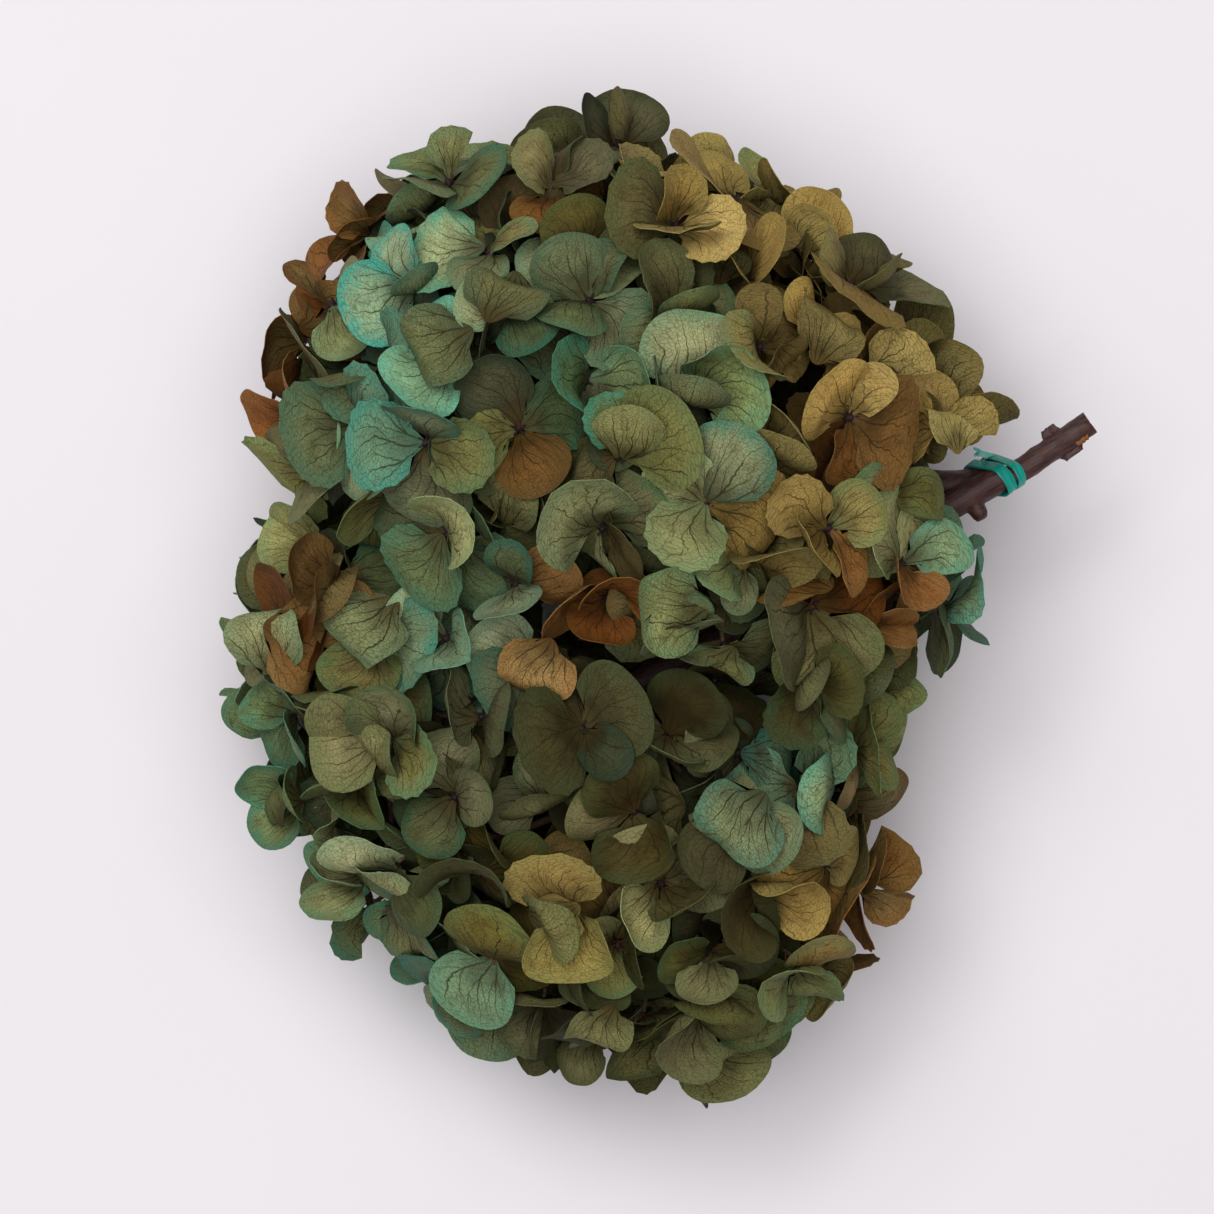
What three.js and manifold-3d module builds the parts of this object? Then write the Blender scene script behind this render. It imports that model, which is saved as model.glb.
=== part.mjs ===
// A bunch of two preserved hydrangea heads, tied by their stems and lying on its side.
// Millimetres, +Z up. The heads rest on the plane Z = 0, and the stems run out along +X.
// Every floret head is a cloud of sprays: branch, branchlet, thin stalks and one floret on each stalk.

import * as THREE from "three";
import { mergeVertices } from "three/addons/utils/BufferGeometryUtils.js";
import Module from "manifold-3d";

const wasm = await Module();
wasm.setup();

// ---------- driving dimensions ----------

// Each head is an ellipsoid: where its middle is, its half sizes, and its turn about Z.
const HEAD_A_CENTRE = [6.5, 32, 50];
const HEAD_A_HALF = [78, 65, 55];
const HEAD_A_TURN = -31;
const HEAD_B_CENTRE = [-7, -26, 44];
const HEAD_B_HALF = [80, 60, 50];
const HEAD_B_TURN = -51;

const REST_LEVEL = 3; // height of the floret eyes where a head is pressed flat by its own weight

const FLORET_RADIUS = 9.6; // eye to lobe tip, the part of a floret that is clear of its neighbours
const FLORET_GAP = 0.8; // least clear space between two florets
const FLORET_CUP = 1.4; // how far the lobe tips stand out past the eye
const FLORET_EDGE = 0.6; // thickness of a lobe at its tip
const FLORET_BACK = 2.2; // depth of the small cone behind the eye
const LOBE_NOTCH = 0.6; // radius between two lobes, as a share of the lobe's own
const FLORET_NOD = 13; // degrees that a floret may lean from straight out
const LEAST_NOD = 0.3; // as a share of the most
const PACKING_SLACK = 1.06; // of the area that a floret would fill if all were packed evenly
const DEPTH_STEP = 2.6; // florets sit at four depths, this far apart
const DEPTH_COUNT = 4;

const SPRIGS_PER_HEAD = 20;
const STALK_RADIUS = 0.65; // of the thin stalk under one floret
const STALK_LENGTH = 17; // from a sprig's fork to its florets
const STALK_TIP_DEPTH = 0.5; // a stalk tapers to a point this far behind the eye
const BRANCHLET_RADIUS = 0.85;

const RAY_RADIUS = 1.6; // of the branches that leave the top of the stem
const RAY_LENGTH = 25;
const RAY_SPREAD = 78; // degrees between the straight branch and the whorl round it
const WHORL_COUNT = 4;
const HUB_RADIUS = 3.2; // swelling at a branch's end, where its branchlets start
const KNOB_RADIUS = 4.4; // swelling at the stem's top, where its branches start
const KNOB_SETBACK = 10; // from the middle of the head towards the stem

const STEM_RADIUS = 2.6;
const STEM_CLEARANCE = 12; // no floret eye comes nearer to a stem's centreline
const STALK_CLEARANCE = 3.9; // no stalk or branchlet comes nearer to it
const FORK_CLEARANCE = 7; // a fork grows at least this far from it
const STEM_SIDES = 10;
const MAIN_STEM_STEPS = 18;
const SECOND_STEM_STEPS = 16;
const STEM_BEND_PLACE = 0.62; // share of the way from the knob to the tie
const STEM_BEND_BACK = 2; // how far the bend is pushed towards the knob
const STUB_BASE = 2.3; // radius of a torn leaf stalk where it leaves the stem
const STUB_TIP = 1.1;
const STUB_LENGTH = 2.8;
const STUB_SIDES = 7;
const MAIN_STEM_STUBS = [
  // distance back from the stem's end, and degrees round it from its level side
  { back: 9.5, angle: 20 },
  { back: 5.5, angle: 200 },
  { back: 9, angle: 196 },
  { back: 32, angle: -8 },
];
const NODE_RADIUS = 3.3; // swelling of the stem where a pair of leaves grew
const NODE_SETBACK = 9; // from the stem's end
const CUT_SLANT = 24; // degrees off square at the stem's cut end
const CUT_SETBACK = 1.6;
const KNIFE_SIDE = 20;

const BAND_WIDTH = 8.5; // two turns side by side, along the stems
const BAND_THICKNESS = 1.1;
const BAND_CLEARANCE = 0.45;
const BAND_TAIL = 5; // free end
const BAND_TAIL_GAP = 0.6; // from the free end to the middle of the band
const BAND_MARGIN = 2; // straight stretch of stem on each side of the band
const TIE_PLACE = [85.8, 28.2, 43]; // between the two stems, in the middle of the band
const TIE_DIRECTION = [0.874, 0.478, -0.08]; // along both stems under the band
const STEM_GAP = 0.35; // between the two stems under the band
const STEM_PAIR = [-0.17, 0.31, -0.94]; // from the main stem's axis towards the second stem's
const MAIN_STEM_END = [106, 39, 42.5];
const SECOND_STEM_PAST_BAND = 1.5;

const TOUCH_GAP = 0.3; // left between pieces that meet

// ---------- small helpers ----------

const UP = new THREE.Vector3(0, 0, 1);
const AXIS_Y = new THREE.Vector3(0, 1, 0);
const vector = (values) => new THREE.Vector3(...values);
const radians = THREE.MathUtils.degToRad;

// A repeatable number from 0 to 1 for each whole number.
function scatter(index) {
  const value = Math.sin(index * 127.1 + 311.7) * 43758.5453;
  return value - Math.floor(value);
}

function solid(geometry) {
  const bare = geometry.clone();
  bare.deleteAttribute("normal");
  bare.deleteAttribute("uv");
  const merged = mergeVertices(bare, 1e-4);
  return new wasm.Manifold(
    new wasm.Mesh({
      numProp: 3,
      vertProperties: merged.attributes.position.array,
      triVerts: new Uint32Array(merged.index.array),
    }),
  );
}

function geometryOf(body) {
  const mesh = body.getMesh();
  const geometry = new THREE.BufferGeometry();
  geometry.setAttribute("position", new THREE.BufferAttribute(mesh.vertProperties, 3));
  geometry.setIndex(new THREE.BufferAttribute(mesh.triVerts, 1));
  geometry.computeVertexNormals();
  return geometry;
}

const joined = (bodies) => bodies.reduce((whole, next) => whole.add(next));

// A straight tapered rod from one point to another.
function rod(from, to, fromRadius, toRadius, sides) {
  const along = to.clone().sub(from);
  const geometry = new THREE.CylinderGeometry(toRadius, fromRadius, along.length(), sides);
  const turn = new THREE.Quaternion().setFromUnitVectors(AXIS_Y, along.normalize());
  geometry.applyQuaternion(turn);
  const middle = from.clone().add(to).multiplyScalar(0.5);
  geometry.translate(middle.x, middle.y, middle.z);
  return solid(geometry);
}

function ball(centre, radius, detail) {
  const geometry = new THREE.IcosahedronGeometry(radius, detail);
  geometry.translate(centre.x, centre.y, centre.z);
  return solid(geometry);
}

// A tube along a smooth curve through the given points.
function tube(points, radius, sides, steps) {
  const section = new THREE.Shape();
  section.absarc(0, 0, radius, 0, 2 * Math.PI);
  const path = new THREE.CatmullRomCurve3(points);
  const settings = { steps, curveSegments: sides / 2, extrudePath: path, bevelEnabled: false };
  return solid(new THREE.ExtrudeGeometry(section, settings));
}

// ---------- stems: where they run ----------

const tiePlace = vector(TIE_PLACE);
const tieDirection = vector(TIE_DIRECTION).normalize();
const stemPair = vector(STEM_PAIR);
stemPair.addScaledVector(tieDirection, -stemPair.dot(tieDirection)).normalize();
const stemSpacing = 2 * STEM_RADIUS + STEM_GAP;
const mainAtTie = tiePlace.clone().addScaledVector(stemPair, -stemSpacing / 2);
const secondAtTie = tiePlace.clone().addScaledVector(stemPair, stemSpacing / 2);

function makeHead(name, centre, half, turn, stemAtTie) {
  const head = { name, centre: vector(centre), half: vector(half), turn: radians(turn) };
  head.stemSide = stemAtTie.clone().sub(head.centre).normalize();
  head.knob = head.centre.clone().addScaledVector(head.stemSide, KNOB_SETBACK);
  return head;
}

const headA = makeHead("a", HEAD_A_CENTRE, HEAD_A_HALF, HEAD_A_TURN, secondAtTie);
const headB = makeHead("b", HEAD_B_CENTRE, HEAD_B_HALF, HEAD_B_TURN, mainAtTie);
const heads = [headA, headB];

// A stem leaves its knob, bends gently, and runs straight under the band.
function stemPoints(head, atTie, pastTie) {
  const beforeTie = atTie.clone().addScaledVector(tieDirection, -BAND_WIDTH / 2 - BAND_MARGIN);
  const bend = head.knob.clone().lerp(beforeTie, STEM_BEND_PLACE);
  bend.addScaledVector(tieDirection, -STEM_BEND_BACK);
  return [head.knob, bend, beforeTie, atTie, ...pastTie];
}

const mainEnd = vector(MAIN_STEM_END);
const afterTie = mainAtTie.clone().addScaledVector(tieDirection, BAND_WIDTH / 2 + BAND_MARGIN);
const mainPoints = stemPoints(headB, mainAtTie, [afterTie, mainEnd]);
const secondEnd = secondAtTie
  .clone()
  .addScaledVector(tieDirection, BAND_WIDTH / 2 + SECOND_STEM_PAST_BAND);
const secondPoints = stemPoints(headA, secondAtTie, [secondEnd]);

const STEM_SAMPLES = 60;
const stemLines = [mainPoints, secondPoints].map((points) =>
  new THREE.CatmullRomCurve3(points).getSpacedPoints(STEM_SAMPLES),
);

// ---------- where the florets are ----------

const GOLDEN_ANGLE = Math.PI * (3 - Math.sqrt(5));

function evenDirections(count) {
  return Array.from({ length: count }, (_, i) => {
    const z = 1 - (2 * i + 1) / count;
    const ring = Math.sqrt(1 - z * z);
    const angle = i * GOLDEN_ANGLE;
    return new THREE.Vector3(ring * Math.cos(angle), ring * Math.sin(angle), z);
  });
}

function inHead(head, point) {
  return point.clone().sub(head.centre).applyAxisAngle(UP, -head.turn).divide(head.half);
}

// From a head's middle to its face along a direction: an ellipsoid pressed flat where it rests.
function reach(head, direction) {
  const round = 1 / inHead(head, head.centre.clone().add(direction)).length();
  const drop = (head.centre.z - REST_LEVEL) / Math.max(-direction.z, 1e-6);
  return Math.min(round, drop);
}

function onFace(head, point) {
  const direction = point.clone().sub(head.centre).normalize();
  return head.centre.clone().addScaledVector(direction, reach(head, direction));
}

const isPressed = (point) => point.z < REST_LEVEL + 0.01;

function outward(head, point) {
  if (isPressed(point)) return UP.clone().negate();
  return inHead(head, point).divide(head.half).applyAxisAngle(UP, head.turn).normalize();
}

const nearest = (point, others) => Math.min(...others.map((other) => other.distanceTo(point)));

// Moves a point straight away from any stem that it is too near.
function pushedClear(point) {
  const moved = point.clone();
  for (const line of stemLines) {
    const distances = line.map((place) => place.distanceTo(moved));
    const closest = line[distances.indexOf(Math.min(...distances))];
    const away = moved.clone().sub(closest);
    if (away.length() < FORK_CLEARANCE) moved.copy(closest).add(away.setLength(FORK_CLEARANCE));
  }
  return moved;
}

// Whether a straight stalk from one point to another stays clear of both stems.
function clearOfStems(from, to) {
  const stops = Array.from({ length: 21 }, (_, i) => from.clone().lerp(to, i / 20));
  return stops.every((stop) => stemLines.every((line) => nearest(stop, line) > STALK_CLEARANCE));
}

// Sample points all over a head's open face, each with the area that it stands for.
const FACE_SAMPLES = 2400;
function faceSamples(head) {
  const others = heads.filter((other) => other !== head);
  const samples = [];
  for (const direction of evenDirections(FACE_SAMPLES)) {
    const distance = reach(head, direction);
    const point = head.centre.clone().addScaledVector(direction, distance);
    const hidden = others.some((other) => inHead(other, point).length() < 1);
    const nearStem = stemLines.some((line) => nearest(point, line) < STEM_CLEARANCE);
    if (hidden || nearStem) continue;
    const lean = Math.max(outward(head, point).dot(direction), 0.2);
    const area = (4 * Math.PI * distance ** 2) / (FACE_SAMPLES * lean);
    samples.push({ point, area });
  }
  return samples;
}

// Splits samples into compact groups of like size: each sample joins the nearest middle, and each
// middle then moves to the mean of its group.
const GROUP_ROUNDS = 14;
function compactGroups(samples, count) {
  const middles = [samples[0].point.clone()];
  const clear = samples.map((sample) => sample.point.distanceTo(middles[0]));
  while (middles.length < count) {
    const farthest = clear.indexOf(Math.max(...clear));
    const middle = samples[farthest].point.clone();
    middles.push(middle);
    samples.forEach((sample, i) => {
      clear[i] = Math.min(clear[i], sample.point.distanceTo(middle));
    });
  }
  let members = [];
  for (let round = 0; round < GROUP_ROUNDS; round++) {
    members = middles.map(() => []);
    for (const sample of samples) {
      const distances = middles.map((middle) => middle.distanceToSquared(sample.point));
      members[distances.indexOf(Math.min(...distances))].push(sample);
    }
    members.forEach((group, i) => {
      if (!group.length) return;
      const weight = group.reduce((sum, sample) => sum + sample.area, 0);
      middles[i].set(0, 0, 0);
      group.forEach((sample) => middles[i].addScaledVector(sample.point, sample.area / weight));
    });
  }
  return members
    .map((group, i) => ({ middle: middles[i], group }))
    .filter((entry) => entry.group.length);
}

const CELL_AREA = PACKING_SLACK * (2 * FLORET_RADIUS + FLORET_GAP) ** 2 * Math.cos(Math.PI / 6);

function placeFlorets(head) {
  const samples = faceSamples(head);
  const area = samples.reduce((sum, sample) => sum + sample.area, 0);
  const cells = compactGroups(samples, Math.round(area / CELL_AREA));
  return cells.map(({ middle }) => ({ head, place: onFace(head, middle) }));
}

const florets = heads.flatMap(placeFlorets);

// Neighbours take different depths, so that their sepals can lie over and under each other.
florets.forEach((floret, i) => {
  const near = (other) => other.place.distanceTo(floret.place) < 3 * FLORET_RADIUS;
  const taken = florets.slice(0, i).filter(near);
  const uses = Array.from({ length: DEPTH_COUNT }, (_, depth) => ({
    depth,
    count: taken.filter((other) => other.depth === depth).length,
  }));
  uses.sort((one, two) => one.count - two.count || one.depth - two.depth);
  floret.depth = isPressed(floret.place) ? 0 : uses[0].depth;
});

florets.forEach((floret, i) => {
  const face = outward(floret.head, floret.place);
  floret.eye = floret.place.clone().addScaledVector(face, -floret.depth * DEPTH_STEP);
  const side = new THREE.Vector3().crossVectors(face, evenDirections(florets.length)[i]);
  const nod = isPressed(floret.place) ? 0 : radians(FLORET_NOD) * THREE.MathUtils.lerp(LEAST_NOD, 1, scatter(i));
  floret.facing = face.clone().applyAxisAngle(side.normalize(), nod);
  floret.spin = 2 * Math.PI * scatter(i + florets.length);
});

// A crowded floret is as wide as its nearest neighbour leaves room for.
florets.forEach((floret) => {
  const others = florets.filter((other) => other !== floret).map((other) => other.eye);
  const room = (nearest(floret.eye, others) - FLORET_GAP) / 2;
  floret.radius = Math.min(FLORET_RADIUS, room);
});

// ---------- solids ----------

// A four-lobed shallow dish whose eye is at the origin and faces +Y.
const DISH_SIDES = 8;
function floretSolid(floret) {
  const profile = [
    new THREE.Vector2(0, -FLORET_BACK),
    new THREE.Vector2(floret.radius, FLORET_CUP - FLORET_EDGE),
    new THREE.Vector2(floret.radius, FLORET_CUP),
    new THREE.Vector2(0, 0),
  ];
  const geometry = new THREE.LatheGeometry(profile, DISH_SIDES);
  const places = geometry.attributes.position;
  const perLobe = DISH_SIDES / 4;
  for (let i = 0; i < places.count; i++) {
    const side = Math.floor(i / profile.length) % perLobe;
    const share = side === 0 ? LOBE_NOTCH : 1;
    places.setX(i, places.getX(i) * share);
    places.setZ(i, places.getZ(i) * share);
  }
  geometry.rotateY(floret.spin);
  geometry.applyQuaternion(new THREE.Quaternion().setFromUnitVectors(AXIS_Y, floret.facing));
  geometry.translate(floret.eye.x, floret.eye.y, floret.eye.z);
  return solid(geometry);
}

// One spray: branchlet from its branch's hub to a fork, then a stalk to each of its florets.
function sprigSolid(sprig) {
  const along = sprig.fork.clone().sub(sprig.hub).normalize();
  const start = sprig.hub.clone().addScaledVector(along, HUB_RADIUS + TOUCH_GAP);
  const bodies = [rod(start, sprig.fork, BRANCHLET_RADIUS, BRANCHLET_RADIUS, 5)];
  for (const floret of sprig.florets) {
    const top = floret.eye.clone().addScaledVector(floret.facing, -STALK_TIP_DEPTH);
    bodies.push(rod(sprig.fork, top, STALK_RADIUS, 0, 4));
    bodies.push(floretSolid(floret));
  }
  return joined(bodies);
}

// The branches of a head fan out from the knob: one straight on, and a whorl round it.
function rayDirections(head) {
  const ahead = head.stemSide.clone().negate();
  const aside = new THREE.Vector3().crossVectors(ahead, UP).normalize();
  const leaning = ahead.clone().applyAxisAngle(aside, radians(RAY_SPREAD));
  const whorl = Array.from({ length: WHORL_COUNT }, (_, i) =>
    leaning.clone().applyAxisAngle(ahead, (2 * Math.PI * (i + 0.5)) / WHORL_COUNT),
  );
  return [ahead, ...whorl];
}

function raySolid(head, direction) {
  const start = head.knob.clone().addScaledVector(direction, KNOB_RADIUS + TOUCH_GAP);
  const hub = head.knob.clone().addScaledVector(direction, RAY_LENGTH);
  const bodies = [rod(start, hub, RAY_RADIUS, RAY_RADIUS, 8), ball(hub, HUB_RADIUS, 1)];
  return joined(bodies);
}

function sprigsOf(head) {
  const own = florets.filter((floret) => floret.head === head);
  const hubs = rayDirections(head).map((direction) =>
    head.knob.clone().addScaledVector(direction, RAY_LENGTH),
  );
  const samples = own.map((floret) => ({ point: floret.eye, area: 1, floret }));
  return compactGroups(samples, SPRIGS_PER_HEAD).map(({ middle, group }) => {
    const out = middle.clone().sub(head.centre).normalize();
    const fork = pushedClear(middle.clone().addScaledVector(out, -STALK_LENGTH));
    const from = middle.clone().sub(head.knob).normalize();
    const turn = (hub) => hub.clone().sub(head.knob).normalize().dot(from);
    const open = hubs.filter((hub) => clearOfStems(hub, fork));
    const hub = open.reduce((best, next) => (turn(next) > turn(best) ? next : best));
    const all = group.map((sample) => sample.floret);
    return { hub, fork, florets: all.filter((floret) => clearOfStems(fork, floret.eye)) };
  });
}

// A broken leaf stalk that leaves the stem sideways.
function stub(place, direction) {
  const tip = place.clone().addScaledVector(direction, STEM_RADIUS + STUB_LENGTH);
  return rod(place, tip, STUB_BASE, STUB_TIP, STUB_SIDES);
}

function mainStemSolid() {
  const curve = new THREE.CatmullRomCurve3(mainPoints);
  const end = curve.getPointAt(1);
  const direction = curve.getTangentAt(1);
  const aside = new THREE.Vector3().crossVectors(direction, UP).normalize();
  const node = end.clone().addScaledVector(direction, -NODE_SETBACK);
  const stubs = MAIN_STEM_STUBS.map(({ back, angle }) => {
    const root = curve.getPointAt(1 - back / curve.getLength());
    return stub(root, aside.clone().applyAxisAngle(direction, radians(angle)));
  });
  const whole = joined([
    tube(mainPoints, STEM_RADIUS, STEM_SIDES, MAIN_STEM_STEPS),
    ball(headB.knob, KNOB_RADIUS, 1),
    ball(node, NODE_RADIUS, 1),
    ...stubs,
  ]);
  const knife = new THREE.BoxGeometry(KNIFE_SIDE, KNIFE_SIDE, KNIFE_SIDE);
  knife.translate(0, KNIFE_SIDE / 2, 0);
  const slant = direction.clone().applyAxisAngle(UP, radians(CUT_SLANT));
  knife.applyQuaternion(new THREE.Quaternion().setFromUnitVectors(AXIS_Y, slant));
  const cut = end.clone().addScaledVector(direction, -CUT_SETBACK);
  knife.translate(cut.x, cut.y, cut.z);
  return whole.subtract(solid(knife));
}

function secondStemSolid() {
  const stem = tube(secondPoints, STEM_RADIUS, STEM_SIDES, SECOND_STEM_STEPS);
  return joined([stem, ball(headA.knob, KNOB_RADIUS, 1)]);
}

// The outline of the band across the stems, drawn round two circles.
function bandOutline(outline, radius) {
  const half = stemSpacing / 2;
  outline.absarc(half, 0, radius, -Math.PI / 2, Math.PI / 2);
  outline.absarc(-half, 0, radius, Math.PI / 2, (3 * Math.PI) / 2);
  outline.closePath();
  return outline;
}

function bandSolid() {
  const inner = STEM_RADIUS + BAND_CLEARANCE;
  const section = bandOutline(new THREE.Shape(), inner + BAND_THICKNESS);
  section.holes.push(bandOutline(new THREE.Path(), inner));
  const settings = { depth: BAND_WIDTH, bevelEnabled: false, curveSegments: 8 };
  const band = new THREE.ExtrudeGeometry(section, settings);
  band.translate(0, 0, -BAND_WIDTH / 2);
  const tail = new THREE.BoxGeometry(BAND_TAIL, BAND_THICKNESS, BAND_WIDTH / 2 - BAND_TAIL_GAP);
  tail.translate(-stemSpacing / 2 - BAND_TAIL / 2, inner + BAND_THICKNESS / 2, -BAND_WIDTH / 4);
  const whole = geometryOf(solid(band).add(solid(tail)));
  const across = new THREE.Vector3().crossVectors(tieDirection, stemPair);
  const placing = new THREE.Matrix4().makeBasis(stemPair, across, tieDirection);
  whole.applyMatrix4(placing.setPosition(tiePlace));
  return whole;
}

// ---------- the bunch ----------

const bunch = new THREE.Group();

function addMesh(name, geometry, color, roughness) {
  const material = new THREE.MeshStandardMaterial({ color, roughness, metalness: 0 });
  const mesh = new THREE.Mesh(geometry, material);
  mesh.name = name;
  bunch.add(mesh);
}

const BARK = 0x43302f;
const GREEN_BARK = 0x4a3c2c;
const TEAL_BAND = 0x109a8b;
const HEAD_TINTS = { a: [0x5d9a8a, 0x8c8f66, 0x9a7a48], b: [0x4f7f6c, 0x6b7345, 0x7a6b3c] };

addMesh("main_stem", geometryOf(mainStemSolid()), BARK, 0.75);
addMesh("second_stem", geometryOf(secondStemSolid()), BARK, 0.75);
addMesh("tie_band", bandSolid(), TEAL_BAND, 0.4);

for (const head of heads) {
  rayDirections(head).forEach((direction, i) => {
    addMesh(`ray_${head.name}${i + 1}`, geometryOf(raySolid(head, direction)), GREEN_BARK, 0.8);
  });
  sprigsOf(head).forEach((sprig, i) => {
    const tint = HEAD_TINTS[head.name][i % HEAD_TINTS[head.name].length];
    const name = `sprig_${head.name}${String(i + 1).padStart(2, "0")}`;
    addMesh(name, geometryOf(sprigSolid(sprig)), tint, 0.85);
  });
}

// Stand the bunch on Z = 0 with its middle over the origin.
const box = new THREE.Box3().setFromObject(bunch);
const middle = box.getCenter(new THREE.Vector3());
bunch.position.set(-middle.x, -middle.y, -box.min.z);

export default bunch;
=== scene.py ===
# %% [markdown]
# # A cut hydrangea, tied and laid on a table
# Two round flower heads, dyed and preserved, lie side by side on their stems.
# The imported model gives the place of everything: florets, sprays, branches, stems and the tie.
# This lesson builds the real looks around those places, in metres, from the outside frame inwards.

# %% Load the frame
import math
import random
from functools import partial

import bmesh
import bpy
import numpy as np
from mathutils import Matrix, Vector
from mathutils.bvhtree import BVHTree


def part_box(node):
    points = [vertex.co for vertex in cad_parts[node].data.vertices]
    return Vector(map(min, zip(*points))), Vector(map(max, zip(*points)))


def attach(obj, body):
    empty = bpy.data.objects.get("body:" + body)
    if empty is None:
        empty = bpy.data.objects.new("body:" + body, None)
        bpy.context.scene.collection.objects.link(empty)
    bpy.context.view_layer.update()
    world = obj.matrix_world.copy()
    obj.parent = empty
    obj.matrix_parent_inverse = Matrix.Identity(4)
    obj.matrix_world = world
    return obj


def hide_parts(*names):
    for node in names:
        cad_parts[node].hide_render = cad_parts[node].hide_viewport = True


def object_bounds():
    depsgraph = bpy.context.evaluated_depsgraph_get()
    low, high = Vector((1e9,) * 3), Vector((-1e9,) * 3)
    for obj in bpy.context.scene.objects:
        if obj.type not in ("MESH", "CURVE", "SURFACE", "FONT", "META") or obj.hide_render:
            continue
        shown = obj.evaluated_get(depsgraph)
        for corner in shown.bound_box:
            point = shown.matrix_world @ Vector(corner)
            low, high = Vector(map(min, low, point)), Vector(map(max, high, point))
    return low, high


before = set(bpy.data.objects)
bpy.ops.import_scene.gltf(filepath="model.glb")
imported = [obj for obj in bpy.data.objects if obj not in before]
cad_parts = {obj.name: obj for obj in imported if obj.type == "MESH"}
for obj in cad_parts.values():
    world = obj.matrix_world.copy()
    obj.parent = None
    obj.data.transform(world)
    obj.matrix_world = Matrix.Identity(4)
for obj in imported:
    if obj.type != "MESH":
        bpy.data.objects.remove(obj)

bpy.ops.object.select_all(action="DESELECT")
CAD_BOX = [list(corner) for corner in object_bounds()]
LOW, HIGH = Vector(CAD_BOX[0]), Vector(CAD_BOX[1])
MM = 0.001
print("bunch, mm:", [round(side / MM, 1) for side in HIGH - LOW])

# %% [markdown]
# ## Camera
# The bunch is looked at from straight above, with the stems towards the right.
# A long lens from about a metre away keeps the rim of the heads from leaning outwards.
# The lens is worked out so that the view is 255 mm wide halfway up the heads.

# %% Camera
VIEW_WIDTH = 255 * MM
VIEW_HEIGHT = 50 * MM
CAMERA_HEIGHT = 1150 * MM
VIEW_MIDDLE = (-13.8 * MM, -0.9 * MM)
SENSOR = 36  # mm

bpy.ops.object.camera_add(location=(*VIEW_MIDDLE, CAMERA_HEIGHT), rotation=(0, 0, 0))
camera = bpy.context.object
camera.name = "camera"
camera.data.sensor_width = SENSOR
camera.data.lens = SENSOR * (CAMERA_HEIGHT - VIEW_HEIGHT) / VIEW_WIDTH
bpy.context.scene.camera = camera
print("lens, mm:", round(camera.data.lens, 1))

# %% [markdown]
# ## Helpers for working by hand in code
# An edit-mode operator acts on what is selected, so `pick` selects points by their place.
# `apply` adds a modifier with its settings and applies it at once.
# `combine` joins pieces into the first one, and `copy_of` copies a piece with its own mesh.
# `stretch` resizes part of a piece, `axes` turns it, and `coat` gives it its finishes.


# %% Helpers for shapes
JOINED = 0.02 * MM  # points nearer than this are one


def choose(*pieces):
    """Selects these pieces only, the first one active."""
    bpy.ops.object.select_all(action="DESELECT")
    for piece in pieces:
        piece.select_set(True)
    bpy.context.view_layer.objects.active = pieces[0]


def pick(piece, wanted):
    """Opens a piece in edit mode with the vertices selected whose place is wanted."""
    choose(piece)
    mesh = piece.data
    for parts in (mesh.vertices, mesh.edges, mesh.polygons):
        parts.foreach_set("select", [False] * len(parts))
    mesh.vertices.foreach_set("select", [bool(wanted(v.co)) for v in mesh.vertices])
    bpy.ops.object.mode_set(mode="EDIT")


def leave():
    bpy.ops.object.mode_set(mode="OBJECT")


def stretch(piece, wanted, value, centre=(0, 0, 0)):
    """Resizes the part of a piece that is wanted, about a centre."""
    pick(piece, wanted)
    bpy.ops.transform.resize(value=value, center_override=centre)
    leave()


def apply(piece, kind, **settings):
    """Adds a modifier and applies it."""
    choose(piece)
    bpy.ops.object.modifier_add(type=kind)
    modifier = piece.modifiers[-1]
    for name, value in settings.items():
        setattr(modifier, name, value)
    bpy.ops.object.modifier_apply(modifier=modifier.name)


def combine(pieces):
    choose(*pieces)
    if len(pieces) > 1:
        bpy.ops.object.join()
    return pieces[0]


def copy_of(piece, name):
    """A copy with its own mesh, unturned at the origin."""
    twin = bpy.data.objects.new(name, piece.data.copy())
    bpy.context.scene.collection.objects.link(twin)
    return twin


def settle(piece):
    """Puts a piece's place and turn into its mesh, so that the object sits at the origin."""
    choose(piece)
    bpy.ops.object.transform_apply(location=True, rotation=True, scale=True)
    return piece


def axes(x, y, z):
    """The turn that takes a piece's own X, Y and Z to these three ways."""
    return Matrix((x, y, z)).transposed().to_4x4()


def coat(piece, *materials):
    """Gives a piece these finishes and no others."""
    piece.data.materials.clear()
    for material in materials:
        piece.data.materials.append(material)


# %% [markdown]
# ## Helpers for finishes
# Colours are written as sRGB hex values, as a paint chart gives them, and made linear here.
# One function adds a shader node, with its settings and its links.


# %% Helpers for finishes
def linear(hex_colour):
    """An sRGB hex colour as linear red, green, blue and alpha."""
    parts = [int(hex_colour[i : i + 2], 16) / 255 for i in (1, 3, 5)]
    return [p / 12.92 if p <= 0.04045 else ((p + 0.055) / 1.055) ** 2.4 for p in parts] + [1.0]


def blend(one, two, share):
    """A colour that lies this share of the way from one to two."""
    return [a + (b - a) * share for a, b in zip(one, two)]


def add_node(tree, kind, settings=None, inputs=None, give=0):
    """Adds a node, and gives back one of its outputs."""
    node = tree.nodes.new(kind)
    for name, value in (settings or {}).items():
        setattr(node, name, value)
    if not isinstance(inputs, dict):
        inputs = dict(enumerate(inputs or []))
    for socket, value in inputs.items():
        if isinstance(value, bpy.types.NodeSocket):
            tree.links.new(value, node.inputs[socket])
        else:
            node.inputs[socket].default_value = value
    return node.outputs[give] if len(node.outputs) else None


def new_material(name):
    """An empty material, and add_node with its node tree filled in."""
    material = bpy.data.materials.new(name)
    material.use_nodes = True
    material.node_tree.nodes.clear()
    return material, partial(add_node, material.node_tree)


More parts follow.
